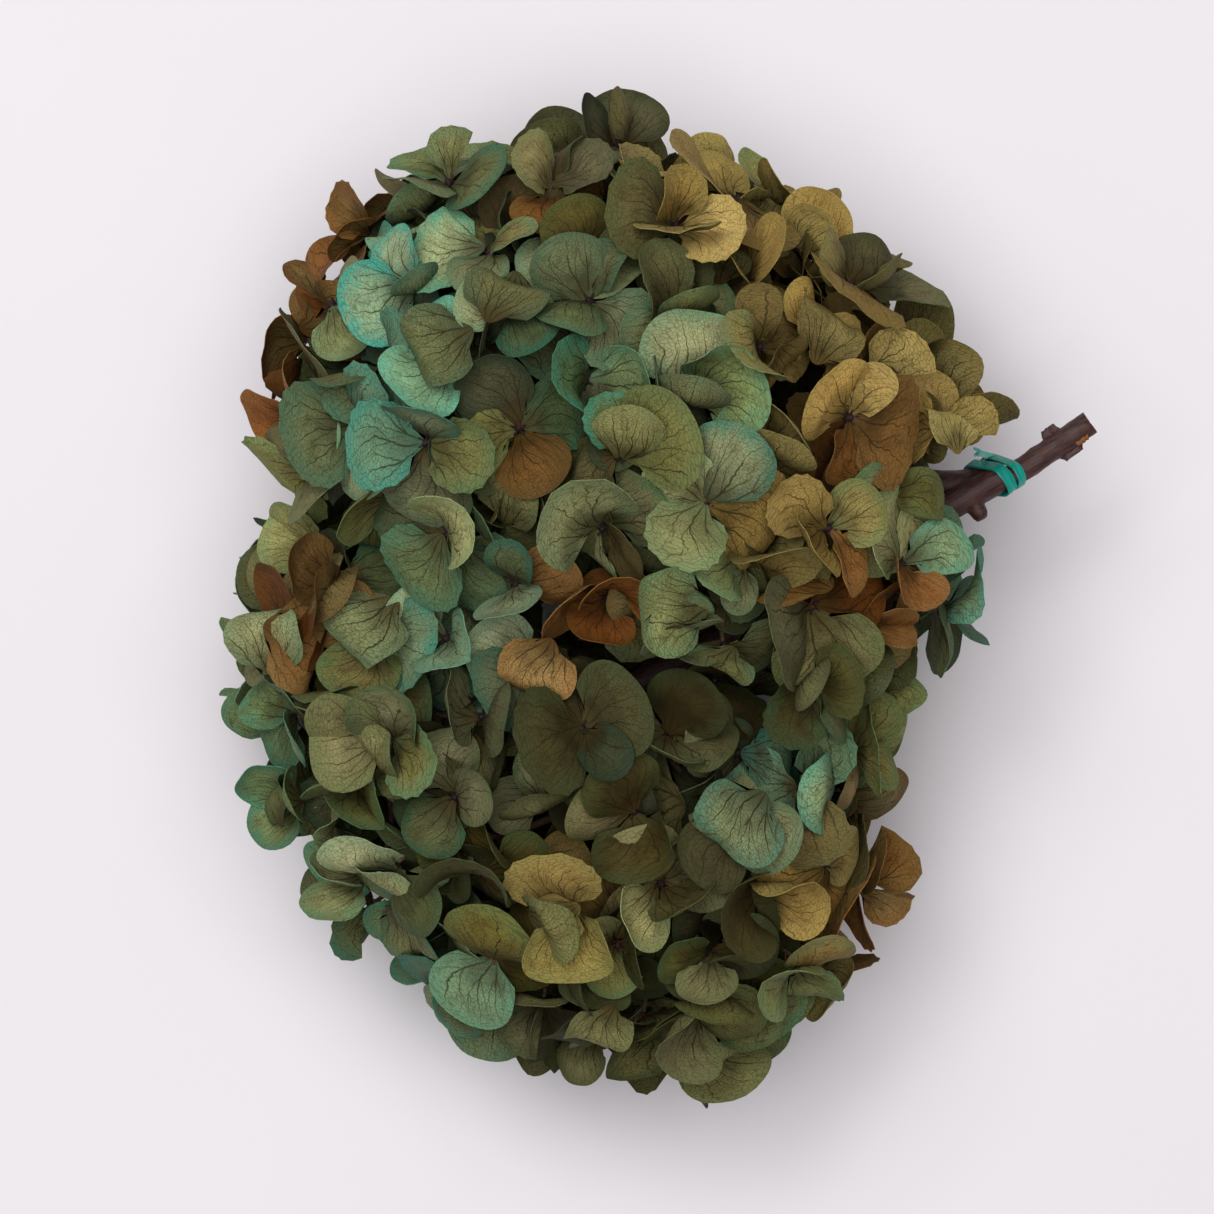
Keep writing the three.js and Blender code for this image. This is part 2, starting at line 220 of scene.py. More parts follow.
def close_material(add, colour, rough, gloss, bump=None):
    """Ends a material with its main shader."""
    inputs = {"Base Color": colour, "Roughness": rough, "Specular IOR Level": gloss}
    if bump is not None:
        inputs["Normal"] = bump
    shader = add("ShaderNodeBsdfPrincipled", {}, inputs)
    add("ShaderNodeOutputMaterial", {}, {"Surface": shader})


# %% [markdown]
# ## Where the florets are
# In the frame, each floret is a shallow four-lobed dish. Its middle, the eye, is the one vertex
# with eight edges, four long and four short: long to a lobe's tip, short to a notch. So the eye,
# the way it faces and the way its first lobe points can be read from the mesh.
# A spray's fork is where the ends of its stalks crowd together.

# %% Read the florets and forks
EYE_EDGES = 8
EVEN = 0.03  # edges of one kind differ by less than this share
NOTCH_SHARE = (0.55, 0.72)
EYE_CLEAR = 6 * MM  # past this, a point belongs to a stalk
CROWDED = 1.3 * MM  # points nearer than this count towards a crowd


def merged_copy(node):
    """A CAD node's mesh as a bmesh with its loose triangles joined."""
    mesh = bmesh.new()
    mesh.from_mesh(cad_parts[node].data)
    bmesh.ops.remove_doubles(mesh, verts=mesh.verts, dist=JOINED)
    return mesh


def read_floret(vertex):
    """(eye, facing, first lobe) if this vertex is a floret's eye, or None."""
    if len(vertex.link_edges) != EYE_EDGES:
        return None
    spokes = [edge.other_vert(vertex).co - vertex.co for edge in vertex.link_edges]
    spokes.sort(key=lambda spoke: spoke.length)
    short, long = spokes[:4], spokes[4:]
    uneven = any(four[3].length - four[0].length > EVEN * four[3].length for four in (short, long))
    if uneven or not NOTCH_SHARE[0] < short[0].length / long[0].length < NOTCH_SHARE[1]:
        return None
    middle = sum(long, Vector()) / 4
    if middle.dot(vertex.normal) < 0:
        return None
    facing = middle.normalized()
    lobe = (long[0] - facing * long[0].dot(facing)).normalized()
    return vertex.co.copy(), facing, lobe


sprays = {}
for node in sorted(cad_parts):
    if not node.startswith("sprig_"):
        continue
    mesh = merged_copy(node)
    florets = [found for found in map(read_floret, mesh.verts) if found]
    places = [v.co.copy() for v in mesh.verts]
    inner = [p for p in places if all((p - eye).length > EYE_CLEAR for eye, _, _ in florets)]
    crowd = [sum((p - other).length < CROWDED for other in places) for p in inner]
    fork = inner[crowd.index(max(crowd))]
    start = max(places, key=lambda p: min((p - eye).length for eye, _, _ in florets))
    sprays[node] = {"florets": florets, "fork": fork, "start": start}
    mesh.free()
print("florets found:", sum(len(spray["florets"]) for spray in sprays.values()))

# %% [markdown]
# ## One sepal
# What looks like a petal is a sepal: a thin papery disc, wider than long, on a narrow claw.
# It could be cut from a flat outline, but then its faces would be long slivers.
# A small grid rounded ring by ring has even faces, so it bends smoothly and stays light:
# there are hundreds of them. It stands upright on its claw and its front looks along -Y.
# Two things are noted while it is flat: where each point is on the sepal, and how near the rim.

# %% The flat sepal
GRID = 8  # faces along each side
CLAW_TOP = 0.16  # share of the length
CLAW_WIDTH = 0.42
MAP_WIDTH = 1.3  # the flat map is this much wider than the sepal is long
MIDDLE = (0, 0, 0.5)
TINY = 1e-4


def flat_sepal(name, width, taper):
    """A rounded sheet one unit long, with its claw at the origin."""
    upright = (math.pi / 2, 0, 0)
    bpy.ops.mesh.primitive_grid_add(
        x_subdivisions=GRID, y_subdivisions=GRID, size=1, location=MIDDLE, rotation=upright
    )
    sepal = settle(bpy.context.object)
    sepal.name = name
    rim = [max(abs(v.co.x), abs(v.co.z - 0.5)) * 2 for v in sepal.data.vertices]
    for ring in range(GRID // 2, 0, -1):
        reach = ring / GRID
        pick(sepal, lambda co: abs(max(abs(co.x), abs(co.z - 0.5)) - reach) < TINY)
        bpy.ops.transform.tosphere(value=1)
        leave()
    sepal.data.attributes.new("rim", "FLOAT", "POINT").data.foreach_set("value", rim)
    half = max(v.co.x for v in sepal.data.vertices)
    stretch(sepal, lambda co: True, (width / 2 / half, 1, 0.5 / half), MIDDLE)
    apply(sepal, "SIMPLE_DEFORM", deform_method="TAPER", deform_axis="Z", factor=taper)
    stretch(sepal, lambda co: co.z < CLAW_TOP, (CLAW_WIDTH, 1, 1))
    layer = sepal.data.uv_layers.active or sepal.data.uv_layers.new()
    layer.name = "Sepal"
    for loop in sepal.data.loops:
        co = sepal.data.vertices[loop.vertex_index].co
        layer.data[loop.index].uv = (0.5 + co.x / MAP_WIDTH, co.z)
    return sepal


# %% [markdown]
# ## Fourteen ways a sepal dries
# No two sepals dry alike. Each form starts from the flat sheet, then gets teeth along its rim,
# a fold along its midrib, a curl along its length, a cup across its width and a twist.
# A curl above zero leans back, away from the front. A cup above zero rounds the front outwards.
# Bending with a modifier keeps the sheet's own length, as real drying does.

# %% Sepal forms
#          width taper teeth fold curl from  cup twist
FORMS = {
    "open":       (1.10, 0.25, 0.00, 0, 14, 0.10, -22, 0),
    "flat":       (1.06, 0.30, 0.00, 0, -10, 0.20, 16, 4),
    "spoon":      (1.08, 0.30, 0.00, 0, -55, 0.25, -62, 0),
    "leaning":    (1.14, 0.20, 0.00, 0, 62, 0.30, 26, -6),
    "rolled":     (1.16, 0.25, 0.00, 0, 20, 0.20, -150, 10),
    "humped":     (1.20, 0.25, 0.00, 0, 40, 0.20, 92, 0),
    "folded":     (1.20, 0.25, 0.00, 70, 18, 0.20, 10, 0),
    "closed":     (1.22, 0.25, 0.03, 120, 10, 0.30, 14, 8),
    "toothed":    (0.82, 0.20, 0.06, 0, 34, 0.30, -48, 22),
    "narrow":     (0.60, 0.10, 0.00, 0, 40, 0.20, -50, -30),
    "scalloped":  (1.16, 0.35, 0.05, 0, 26, 0.40, -18, -8),
    "tip_in":     (1.10, 0.30, 0.00, 0, -105, 0.55, -20, 0),
    "tip_out":    (1.18, 0.30, 0.02, 0, 110, 0.55, 20, 0),
    "twisted":    (0.96, 0.25, 0.03, 0, 30, 0.20, -60, 48),
}
TEETH_FROM = 0.3  # the rim has no teeth below this


def shape_sepal(name, width, taper, teeth, fold, curl, curl_from, cup, twist):
    """A flat sepal with teeth, then folded, curled, cupped and twisted."""
    sepal = flat_sepal(name, width, taper)
    if teeth:
        rim = sepal.data.attributes["rim"].data
        edge = [v.co.copy() for v in sepal.data.vertices if rim[v.index].value > 0.99]
        edge = [co for co in edge if co.z > TEETH_FROM]
        edge.sort(key=lambda co: math.atan2(co.x, co.z - 0.5))
        tips = edge[::2]
        at_tip = lambda co: any((co - tip).length < TINY for tip in tips)
        stretch(sepal, at_tip, (1 + teeth, 1, 1 + teeth), MIDDLE)
    if fold:
        pick(sepal, lambda co: co.x > TINY)
        angle = math.radians(fold)
        bpy.ops.transform.rotate(value=angle, orient_axis="Z", center_override=(0, 0, 0))
        leave()
    for method, axis, degrees, limits in (
        ("BEND", "X", curl, (curl_from, 1)),
        ("BEND", "Z", cup, (0, 1)),
        ("TWIST", "Z", twist, (0, 1)),
    ):
        if degrees:
            bend = {"deform_method": method, "deform_axis": axis, "angle": math.radians(degrees)}
            apply(sepal, "SIMPLE_DEFORM", **bend, limits=limits)
    return sepal


forms = {name: shape_sepal("form_" + name, *values) for name, values in FORMS.items()}
for name, sepal in forms.items():
    size = [round(side, 2) for side in sepal.dimensions]
    print("form", name, "faces", len(sepal.data.polygons), "size", size)

# %% [markdown]
# ## The dye
# The heads were dyed in patches: bright turquoise where the dye pooled, sage and olive where the
# sepal's own green shows through it, tan and rust where it had gone brown before the dye. The
# darkest green patches, in the lower head's upper part, are partly dye and partly painted shade,
# where the upper head shades the lower one.
# The patches are given as percentages of the bunch's width and depth, from its left front corner.
# Each sepal takes the colour of the patches round it, with a little chance of its own.

# %% Dye patches
#                body       rim
PALETTE = {
    "turquoise": ("#6a9a86", "#2a9a98"),
    "teal":      ("#537050", "#278078"),
    "sea":       ("#7d895c", "#468a76"),
    "sage":      ("#8c8a50", "#678f68"),
    "olive":     ("#584d1f", "#4a663f"),
    # the next colour is a dark green dye, also used as painted shade by its patches
    "moss":      ("#332a10", "#364527"),
    "bottle":    ("#222a13", "#224034"),
    "tan":       ("#a6884f", "#9a8852"),
    "rust":      ("#8f5121", "#855a2a"),
}
MUTED = ["sage", "sea", "olive", "moss", "moss"]
PATCHES = {
    "turquoise": [(19, 84), (19, 77), (16, 67), (26, 47), (84, 52), (65, 33), (23, 9)],
    "teal": [(12, 73), (38, 82), (42, 72), (38, 69), (56, 67), (24, 52), (3, 37)],
    "sea": [(24, 94), (27, 85), (53, 75), (38, 57), (53, 51), (0, 51), (-1, 44), (7, 29),
        (17, 25), (64, 9), (83, 42)],
    "sage": [(58, 96), (30, 65), (47, 63), (76, 60), (24, 57), (11, 60), (72, 36), (45, 15),
        (14, 31), (33, 93)],
    "olive": [(42, 88), (74, 85), (51, 80), (80, 82), (11, 39), (69, 44), (31, 15), (53, 9),
        (29, 24), (40, 62), (62, 13)],
    # the next patches are painted shade where the upper head shades the lower one, over a dark
    # green dye
    "moss": [(38, 40), (54, 40), (38, 5), (47, 30), (58, 24), (24, 36), (33, 30), (48, 6),
        (62, 40)],
    "bottle": [(38, 97), (29, 71), (78, 29), (44, 36), (22, 60)],
    "tan": [(53, 94), (67, 89), (58, 86), (63, 78), (70, 72), (80, 70), (62, 59), (41, 21),
        (65, 23), (72, 80)],
    "rust": [(13, 91), (6, 81), (4, 73), (35, 91), (36, 63), (71, 66), (74, 51), (6, 49),
        (40, 50), (71, 15), (76, 30)],
}
WARM = {"tan": 0.8, "rust": 1.0, "olive": 0.4}  # how brown a colour is
YELLOWED = (1.0, 0.98, 0.78, 1.0)  # glycerine, which keeps the sepals soft, yellows the dye
PATCH_REACH = 0.035  # share of the width over which two patches run together
chance = random.Random(1846)


def dye_at(place):
    """The dye at a place on the bunch: the body's colour, the rim's colour, and how brown it is."""
    x = (place.x - LOW.x) / (HIGH.x - LOW.x)
    y = (place.y - LOW.y) / (HIGH.y - LOW.y)
    shares = {
        name: sum(
            1 / ((x - px / 100) ** 2 + (y - py / 100) ** 2 + PATCH_REACH**2) ** 3
            for px, py in spots
        )
        for name, spots in PATCHES.items()
    }
    total = sum(shares.values())
    body, rim, warm = [0] * 4, [0] * 4, 0
    for name, share in shares.items():
        part = share / total
        body = [c + part * d for c, d in zip(body, linear(PALETTE[name][0]))]
        rim = [c + part * d for c, d in zip(rim, linear(PALETTE[name][1]))]
        warm += part * WARM.get(name, 0)
    return ([c * w for c, w in zip(dye, YELLOWED)] for dye in (body, rim)), warm


# %% [markdown]
# ## Sepal finishes
# A preserved sepal is matt and papery. Veins spread from the claw like a fan, fork twice, and end
# in a fine net. The dye is darkest along the rim, and the claw is brown.
# The pattern is drawn in the sepal's own flat map: the angle and the distance from the claw give
# the fan, so the veins follow each sepal however it is bent.

# %% Vein pattern
MATH, RANGE, MIX = "ShaderNodeMath", "ShaderNodeMapRange", "ShaderNodeMix"
NOISE, VORONOI, ATTRIBUTE = "ShaderNodeTexNoise", "ShaderNodeTexVoronoi", "ShaderNodeAttribute"
JOIN, BUMP = "ShaderNodeCombineXYZ", "ShaderNodeBump"
ADD, SUBTRACT, MULTIPLY, DIVIDE, LARGER, SIZE = (
    (MATH, {"operation": operation})
    for operation in ("ADD", "SUBTRACT", "MULTIPLY", "DIVIDE", "MAXIMUM", "ABSOLUTE")
)
SMOOTH = (RANGE, {"interpolation_type": "SMOOTHSTEP"})
COLOUR = (MIX, {"data_type": "RGBA"})
TINT = (MIX, {"data_type": "RGBA", "blend_type": "MULTIPLY"})

FAN_STEP = 0.36  # radians between two main veins
VEIN_WIDTH = 0.0085  # share of the sepal's length, about a seventh of a millimetre
NET_WIDTH = 0.1  # share of a cell of the net
SWAY, SHIVER = (1.5, 0.0, 0.7), (9.0, 1.0, 0.1)  # how a vein strays: scale, detail, radians
FORK_FROM, FORK_OVER = 0.2, 0.3  # a vein forks this far from the claw, plus a share of this
FORK_AGAIN = 0.26  # and once more this much further on
SPREADS = (0.34, 0.3)


def vein_pattern(add):
    """Veins, fine net, distance from the claw, nearness to the rim, and a place of its own."""
    spot = add("ShaderNodeUVMap", {"uv_map": "Sepal"})
    x = add("ShaderNodeSeparateXYZ", {}, [spot], 0)
    y = x.node.outputs[1]
    own = add(ATTRIBUTE, {"attribute_name": "chance"}, {}, 2)
    rim = add(ATTRIBUTE, {"attribute_name": "rim"}, {}, 2)
    lift = add(*MULTIPLY, [own, 19.0])
    moved = add(JOIN, {}, [x, y, lift])

    # The fan: an angle round the claw and a distance from it, with a slow sway and a small shiver.
    across = add(*SUBTRACT, [x, 0.5])
    up = add(*ADD, [y, 0.05])
    flat_place = add(JOIN, {}, [across, up, 0.0])
    far = add("ShaderNodeVectorMath", {"operation": "LENGTH"}, [flat_place], 1)
    angle = add(MATH, {"operation": "ARCTAN2"}, [across, up])
    for scale, detail, radians in (SWAY, SHIVER):
        stray = add(NOISE, {}, {"Vector": moved, "Scale": scale, "Detail": detail})
        stray = add(*MULTIPLY, [stray, radians])
        angle = add(*ADD, [angle, stray])

    # Main veins at even angles; each has its own number, and from it the place where it forks.
    turned = add(*DIVIDE, [angle, FAN_STEP])
    start = add(*MULTIPLY, [own, 3.0])
    turned = add(*ADD, [turned, start])
    index = add(MATH, {"operation": "ROUND"}, [turned])
    off = add(*SUBTRACT, [turned, index])
    off = add(*SIZE, [off])
    off = add(*MULTIPLY, [off, FAN_STEP])
    offs = [add(*MULTIPLY, [off, far])]
    number = add(*ADD, [index, own])
    lot = add("ShaderNodeTexWhiteNoise", {"noise_dimensions": "1D"}, {"W": number})
    fork = add(*MULTIPLY, [lot, FORK_OVER])
    fork = add(*ADD, [fork, FORK_FROM])

    # Past its fork a vein splits in two that draw apart, and each of those splits once more.
    past = far
    for start, spread in zip((fork, FORK_AGAIN), SPREADS):
        past = add(*SUBTRACT, [past, start])
        past = add(*LARGER, [past, 0.0])
        apart = add(*MULTIPLY, [past, spread])
        off = add(*SUBTRACT, [offs[-1], apart])
        offs.append(add(*SIZE, [off]))

    # Lines drawn where those distances are small, thinner towards the rim.
    thin = add(*SUBTRACT, [1.25, far])
    thin = add(*MULTIPLY, [thin, VEIN_WIDTH])
    core = add(*MULTIPLY, [thin, 0.25])
    veins = 0.0
    for distance, wide, strong in zip(offs, (1.7, 1.3, 1.0), (1.0, 0.8, 0.6)):
        width = add(*MULTIPLY, [thin, wide])
        line = add(*SMOOTH, [distance, core, width, strong, 0.0])
        veins = add(*LARGER, [line, veins])

    # The net between the veins: cells a little longer outwards than across.
    fan_x = add(*MULTIPLY, [angle, 9.5])
    fan_y = add(*MULTIPLY, [far, 16.0])
    fan = add(JOIN, {}, [fan_x, fan_y, own])
    cells = add(VORONOI, {"feature": "DISTANCE_TO_EDGE"}, {"Vector": fan, "Scale": 1.6})
    net = add(*SMOOTH, [cells, 0.0, NET_WIDTH, 1.0, 0.0])
    return veins, net, far, rim, moved


# %% Sepal materials
CLAW_BROWN = "#4a3410"
VEIN_DARK = "#26200f"
SPECK_DARK = "#2a2a1c"
BACK_PALE = "#8c8956"
PAINTED_SHADE_AT_CLAW = 0.46  # painted shade: the part round the claw, deep in the floret, is this much darker than the body


def sepal_material(name, back, rim_depth, net_depth, vein_depth, relief):
    """Matt dyed tissue: painted shade round the claw, dyed rim, sunk veins. The back is paler, its
    veins raised.
    """
    material, add = new_material(name)
    veins, net, far, rim, moved = vein_pattern(add)
    body = add(ATTRIBUTE, {"attribute_name": "body"})
    edge = add(ATTRIBUTE, {"attribute_name": "edge"})
    claw = add(ATTRIBUTE, {"attribute_name": "claw"}, {}, 2)
    clouds = add(NOISE, {}, {"Vector": moved, "Scale": 4.5, "Detail": 4.0})
    grain = add(NOISE, {}, {"Vector": moved, "Scale": 38.0, "Detail": 3.0, "Roughness": 0.7})

    # The body: mottled by slow clouds and fine grain, with painted shade towards the claw and a
    # little painted light towards the tip.
    colour = add(*COLOUR, {0: back, 6: body, 7: linear(BACK_PALE)}, 2)
    mottle = add(*SMOOTH, [clouds, 0.25, 0.75, 0.74, 1.22])
    fine = add(*SMOOTH, [grain, 0.3, 0.7, 0.84, 1.14])
    # painted shade: darker near the claw, where the floret's sepals shade each other
    claw_painted_shade = add(*SMOOTH, [far, 0.1, 0.8, PAINTED_SHADE_AT_CLAW, 1.12])
    shade = add(*MULTIPLY, [mottle, fine])
    shade = add(*MULTIPLY, [shade, claw_painted_shade])
    shade = add(JOIN, {}, [shade, shade, shade])
    colour = add(*TINT, {0: 1.0, 6: colour, 7: shade}, 2)

    # How much of each dye covers it: the rim's, run in unevenly, the claw's brown, the net, the
    # veins and a few specks.
    drift = add(*SUBTRACT, [clouds, 0.5])
    drift = add(*MULTIPLY, [drift, 1.1])
    near_rim = add(*ADD, [rim, drift])
    dyed = add(*SMOOTH, [near_rim, 0.4, 1.15, 0.0, rim_depth])
    brown = add(*SMOOTH, [far, 0.02, 0.5, 1.0, 0.0])
    brown = add(*MULTIPLY, [brown, claw])
    net_share = add(*MULTIPLY, [net, net_depth])
    fading = add(*SMOOTH, [rim, 0.6, 1.0, vein_depth, 0.35])
    vein_share = add(*MULTIPLY, [veins, fading])
    specks = add(VORONOI, {}, {"Vector": moved, "Scale": 15.0})
    specks = add(*SMOOTH, [specks, 0.05, 0.13, 0.6, 0.0])
    for share, dye in (
        (dyed, edge),
        (brown, linear(CLAW_BROWN)),
        (net_share, linear(VEIN_DARK)),
        (vein_share, linear(VEIN_DARK)),
        (specks, linear(SPECK_DARK)),
    ):
        colour = add(*COLOUR, {0: share, 6: colour, 7: dye}, 2)

    # Relief and a dull sheen.
    low_net = add(*MULTIPLY, [net, 0.6])
    ribs = add(*LARGER, [veins, low_net])
    ribs = add(*MULTIPLY, [ribs, relief])
    swell = add(*MULTIPLY, [clouds, 1.6])
    rub = add(*MULTIPLY, [grain, 0.4])
    height = add(*ADD, [ribs, swell])
    height = add(*ADD, [height, rub])
    bump = add(BUMP, {}, {"Strength": 0.5, "Distance": 0.2 * MM, "Height": height})
    rough = add(*SMOOTH, [grain, 0.3, 0.7, 0.62, 0.84])
    close_material(add, colour, rough, 0.1, bump)
    return material


SEPAL_FACE = sepal_material("dyed_preserved_sepal_face", 0.0, 1.0, 0.46, 0.82, -0.8)
SEPAL_BACK = sepal_material("dyed_preserved_sepal_back", 0.4, 0.7, 0.55, 0.9, 0.9)

# %% [markdown]
# ## Stalks, buds and bark
# The florets' stalks are thin, woody and brown. In the middle of each floret sits a dried bud:
# a dark purple-brown knob with a few short points round it.
# The stems keep their bark: dark brown with a purple cast, satin, with fine streaks along it.

# %% Wood and bark materials
PLACE, MAPPING = "ShaderNodeTexCoord", "ShaderNodeMapping"
STEM_LINE = Vector((0.874, 0.478, -0.08)).normalized()  # the way both stems run at the tie
ALONG_STEMS = (0.0, 0.0, math.atan2(STEM_LINE.y, STEM_LINE.x))
GRAIN_LONG = 9  # a streak is this many times as long as wide
BLOT = 6 * MM


def streaked_material(name, dark, light, size, noise, rough, gloss, relief, blot=None):
    """Streaks of two colours in the stems' line, with blots of a third if one is given."""
    material, add = new_material(name)
    place = add(PLACE, {}, {}, 3)
    streaks = {"Vector": place, "Rotation": ALONG_STEMS, "Scale": size}
    streaks = add(MAPPING, {"vector_type": "TEXTURE"}, streaks)
    detail, roughness, lightest = noise
    lines = {"Vector": streaks, "Scale": 1.0, "Detail": detail, "Roughness": roughness}
    lines = add(NOISE, {}, lines)
    even = add(RANGE, {}, [lines, 0.3, lightest])
    colour = add(*COLOUR, {0: even, 6: linear(dark), 7: linear(light)}, 2)
    if blot:
        blots = add(NOISE, {}, {"Vector": place, "Scale": 1 / BLOT, "Detail": 3.0})
        blots = add(RANGE, {}, [blots, 0.56, 0.74, 0.0, 0.7])
        colour = add(*COLOUR, {0: blots, 6: colour, 7: linear(blot)}, 2)
    rough = add(RANGE, {}, [lines, 0.3, 0.7, *rough])
    strength, depth = relief
    bump = add(BUMP, {}, {"Strength": strength, "Distance": depth, "Height": lines})
    close_material(add, colour, rough, gloss, bump)
    return material


def woody_material(name, dark, light, blot, grain, rough):
    """Bark or dried stalk, satin to matt. The grain is the width of a streak."""
    size, noise, relief = (grain * GRAIN_LONG, grain, grain), (5.0, 0.6, 0.72), (0.6, 0.25 * MM)
    return streaked_material(name, dark, light, size, noise, rough, 0.3, relief, blot)


BARK, STALK, BUD, CUT_WOOD = (
    woody_material(*values)
    for values in (
        ("hydrangea_bark_dried", "#251617", "#5a3a34", "#2c1d1f", 0.5 * MM, (0.38, 0.6)),
        ("dried_stalk_brown", "#3a2b22", "#6b5238", "#2b2020", 0.4 * MM, (0.5, 0.75)),
        ("dried_bud_purple_brown", "#171013", "#33201f", "#8a4a2a", 0.3 * MM, (0.5, 0.8)),
        ("cut_wood_oxidised", "#7a4626", "#b5783f", "#5a3320", 0.35 * MM, (0.6, 0.85)),
    )
)

# %% [markdown]
# ## The bud in a floret's middle
# It starts as a small ball, drawn out and puckered, with five short points that are cones
# turned outwards. Made once, it is copied into every floret.

# %% One bud
BUD_RADIUS = 0.95 * MM
BUD_TOP = 1.3 * MM
BUD_POINTS = 5
bpy.ops.mesh.primitive_uv_sphere_add(
    segments=8, ring_count=5, radius=BUD_RADIUS, location=(0, 0, 0.7 * MM)
)
bud = settle(bpy.context.object)
bud.name = "bud"
stretch(bud, lambda co: co.z > BUD_TOP, (0.55, 0.55, 1.5), (0, 0, 0.9 * MM))
points = [bud]
for turn in range(BUD_POINTS):
    angle = 2 * math.pi * turn / BUD_POINTS
    lean = 0.75 + 0.25 * (turn % 2)
    reach = Vector((math.cos(angle), math.sin(angle), 0)) * 1.05 * MM
    bpy.ops.mesh.primitive_cone_add(
        vertices=5, radius1=0.38 * MM, radius2=0.16 * MM, depth=1.7 * MM,
        location=(reach.x, reach.y, 1.1 * MM), rotation=(0, lean, angle),
    )
    points.append(settle(bpy.context.object))
bud = combine(points)
coat(bud, BUD)
print("bud faces:", len(bud.data.polygons))

# %% [markdown]
# ## Stalks
# A spray's stalks are a skeleton: one line from the branch to the fork, then one line to each
# floret, bending into the floret's back. The skeleton is drawn point by point by extruding a
# single vertex, and the Skin modifier gives it a thickness, with the forks grown together.

# %% Draw a skeleton and skin it
STALK_STEPS = 4
SAME_PLACE = 0.01 * MM


def curve_points(start, end, lead):
    """Points on an even curve from start to end that arrives along the line from lead."""
    shares = [(i + 1) / STALK_STEPS for i in range(STALK_STEPS)]
    return [start * (1 - t) ** 2 + lead * 2 * t * (1 - t) + end * t**2 for t in shares]


def skeleton(name, start, start_radius):
    """A single vertex, ready to be extruded, and the list of its radii."""
    bpy.ops.mesh.primitive_plane_add(size=1 * MM, location=start)
    line = settle(bpy.context.object)
    line.name = name
    pick(line, lambda co: True)
    bpy.ops.mesh.merge(type="CENTER")
    leave()
    return line, [start_radius]


def grow(line, radii, start, points, end_radius):
    """Extrudes a line of points from the vertex at start."""
    pick(line, lambda co: (co - start).length < SAME_PLACE)
    here, first = start, radii[0]
    for i, point in enumerate(points):
        bpy.ops.mesh.extrude_region_move(TRANSFORM_OT_translate={"value": point - here})
        here = point
        radii.append(first + (end_radius - first) * (i + 1) / len(points))
    leave()


def skin(line, radii, material):
    """Gives a skeleton its thickness and its finish."""
    choose(line)
    bpy.ops.object.modifier_add(type="SKIN")
    for vertex, radius in zip(line.data.skin_vertices[0].data, radii):
        vertex.radius = (radius, radius)
    bpy.ops.object.modifier_apply(modifier=line.modifiers[-1].name)
    apply(line, "SUBSURF", levels=1, render_levels=1)
    coat(line, material)
    return line


# %% [markdown]
# ## Florets
# Four sepals stand round an eye in two pairs, the inner pair more upright than the outer one.
# Real sepals push each other aside, so none passes through another and few stick out of the head.
# Each sepal is therefore tried a few times, with another form, size, lean and turn every time, and
# the try that crosses least is kept. Crossings are counted by how many faces meet those already
# there, and a head's outline by how far its florets reach along many ways.

# %% How far each head reaches
WAYS = 240
steps = np.arange(WAYS) + 0.5
heights = 1 - 2 * steps / WAYS
angles = steps * math.pi * (3 - math.sqrt(5))  # the golden angle spreads them evenly
rings = np.sqrt(1 - heights**2)
ways = np.stack([rings * np.cos(angles), rings * np.sin(angles), heights])


def reach_of(prefix):
    """How far the nodes with this prefix reach along each way."""
    meshes = [part.data for node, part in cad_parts.items() if node.startswith(prefix)]
    return (np.array([v.co for mesh in meshes for v in mesh.vertices]) @ ways).max(axis=0)


reaches = {"sprig_a": reach_of("sprig_a"), "sprig_b": reach_of("sprig_b")}

# %% Place the sepals
SEPAL_LENGTH = 15.8 * MM
LENGTHS, WIDTHS = (0.82, 1.16), (0.94, 1.1)
OPEN = (70, 44)  # degrees from the floret's axis: outer pair, inner pair
LEAN_SPREAD, ROLL_SPREAD, TURN_SPREAD = 22, 17, 9  # degrees
STEP_OUT, STEP_UP = 0.6 * MM, 0.5 * MM  # of a claw from the eye, and of the inner pair
SINK = 4.4 * MM  # the eye lies this far behind its place, so that the rims keep the outline
TRIES = 6
MOST_TRIES = 18  # for a sepal whose best try is still poor
POOR = 150
SHRINK = 0.965  # each new try is this much shorter
FREE = 6 * MM  # a sepal may stand out of its head this far
OUTSIDE = 4 / MM  # one millimetre more costs as much as this many crossings
BARE_STEM = 13 * MM  # from above, the stems are bare from this far behind the tie
BARE_RADIUS = 8 * MM
STEM_COST = 60
NEARNESS = 0.8  # sepals whose middles are further apart than this share of their reach can't cross
CLEAR = 0.3  # faces that start below this share of the length may meet those of a neighbour
COMMON_SHARE = 0.62
COMMON = ["open", "flat", "leaning", "scalloped", "spoon", "humped"]
RARE = ["rolled", "folded", "closed", "toothed", "narrow", "tip_in", "tip_out", "twisted"]
points_of, faces_of = {}, {}
for name, sepal in forms.items():
    points_of[name] = np.array([v.co for v in sepal.data.vertices])
    sheet_map = sepal.data.uv_layers["Sepal"].data
    faces_of[name] = [
        list(face.vertices)
        for face in sepal.data.polygons
        if min(sheet_map[loop].uv.y for loop in face.loop_indices) > CLEAR
    ]
stem_way = np.array(STEM_LINE.xy.normalized())
tie_place = np.mean(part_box("tie_band"), axis=0)[:2]
most = 8 * sum(len(spray["florets"]) for spray in sprays.values())
middles, spans, trees = np.zeros((most, 3)), np.zeros(most), []


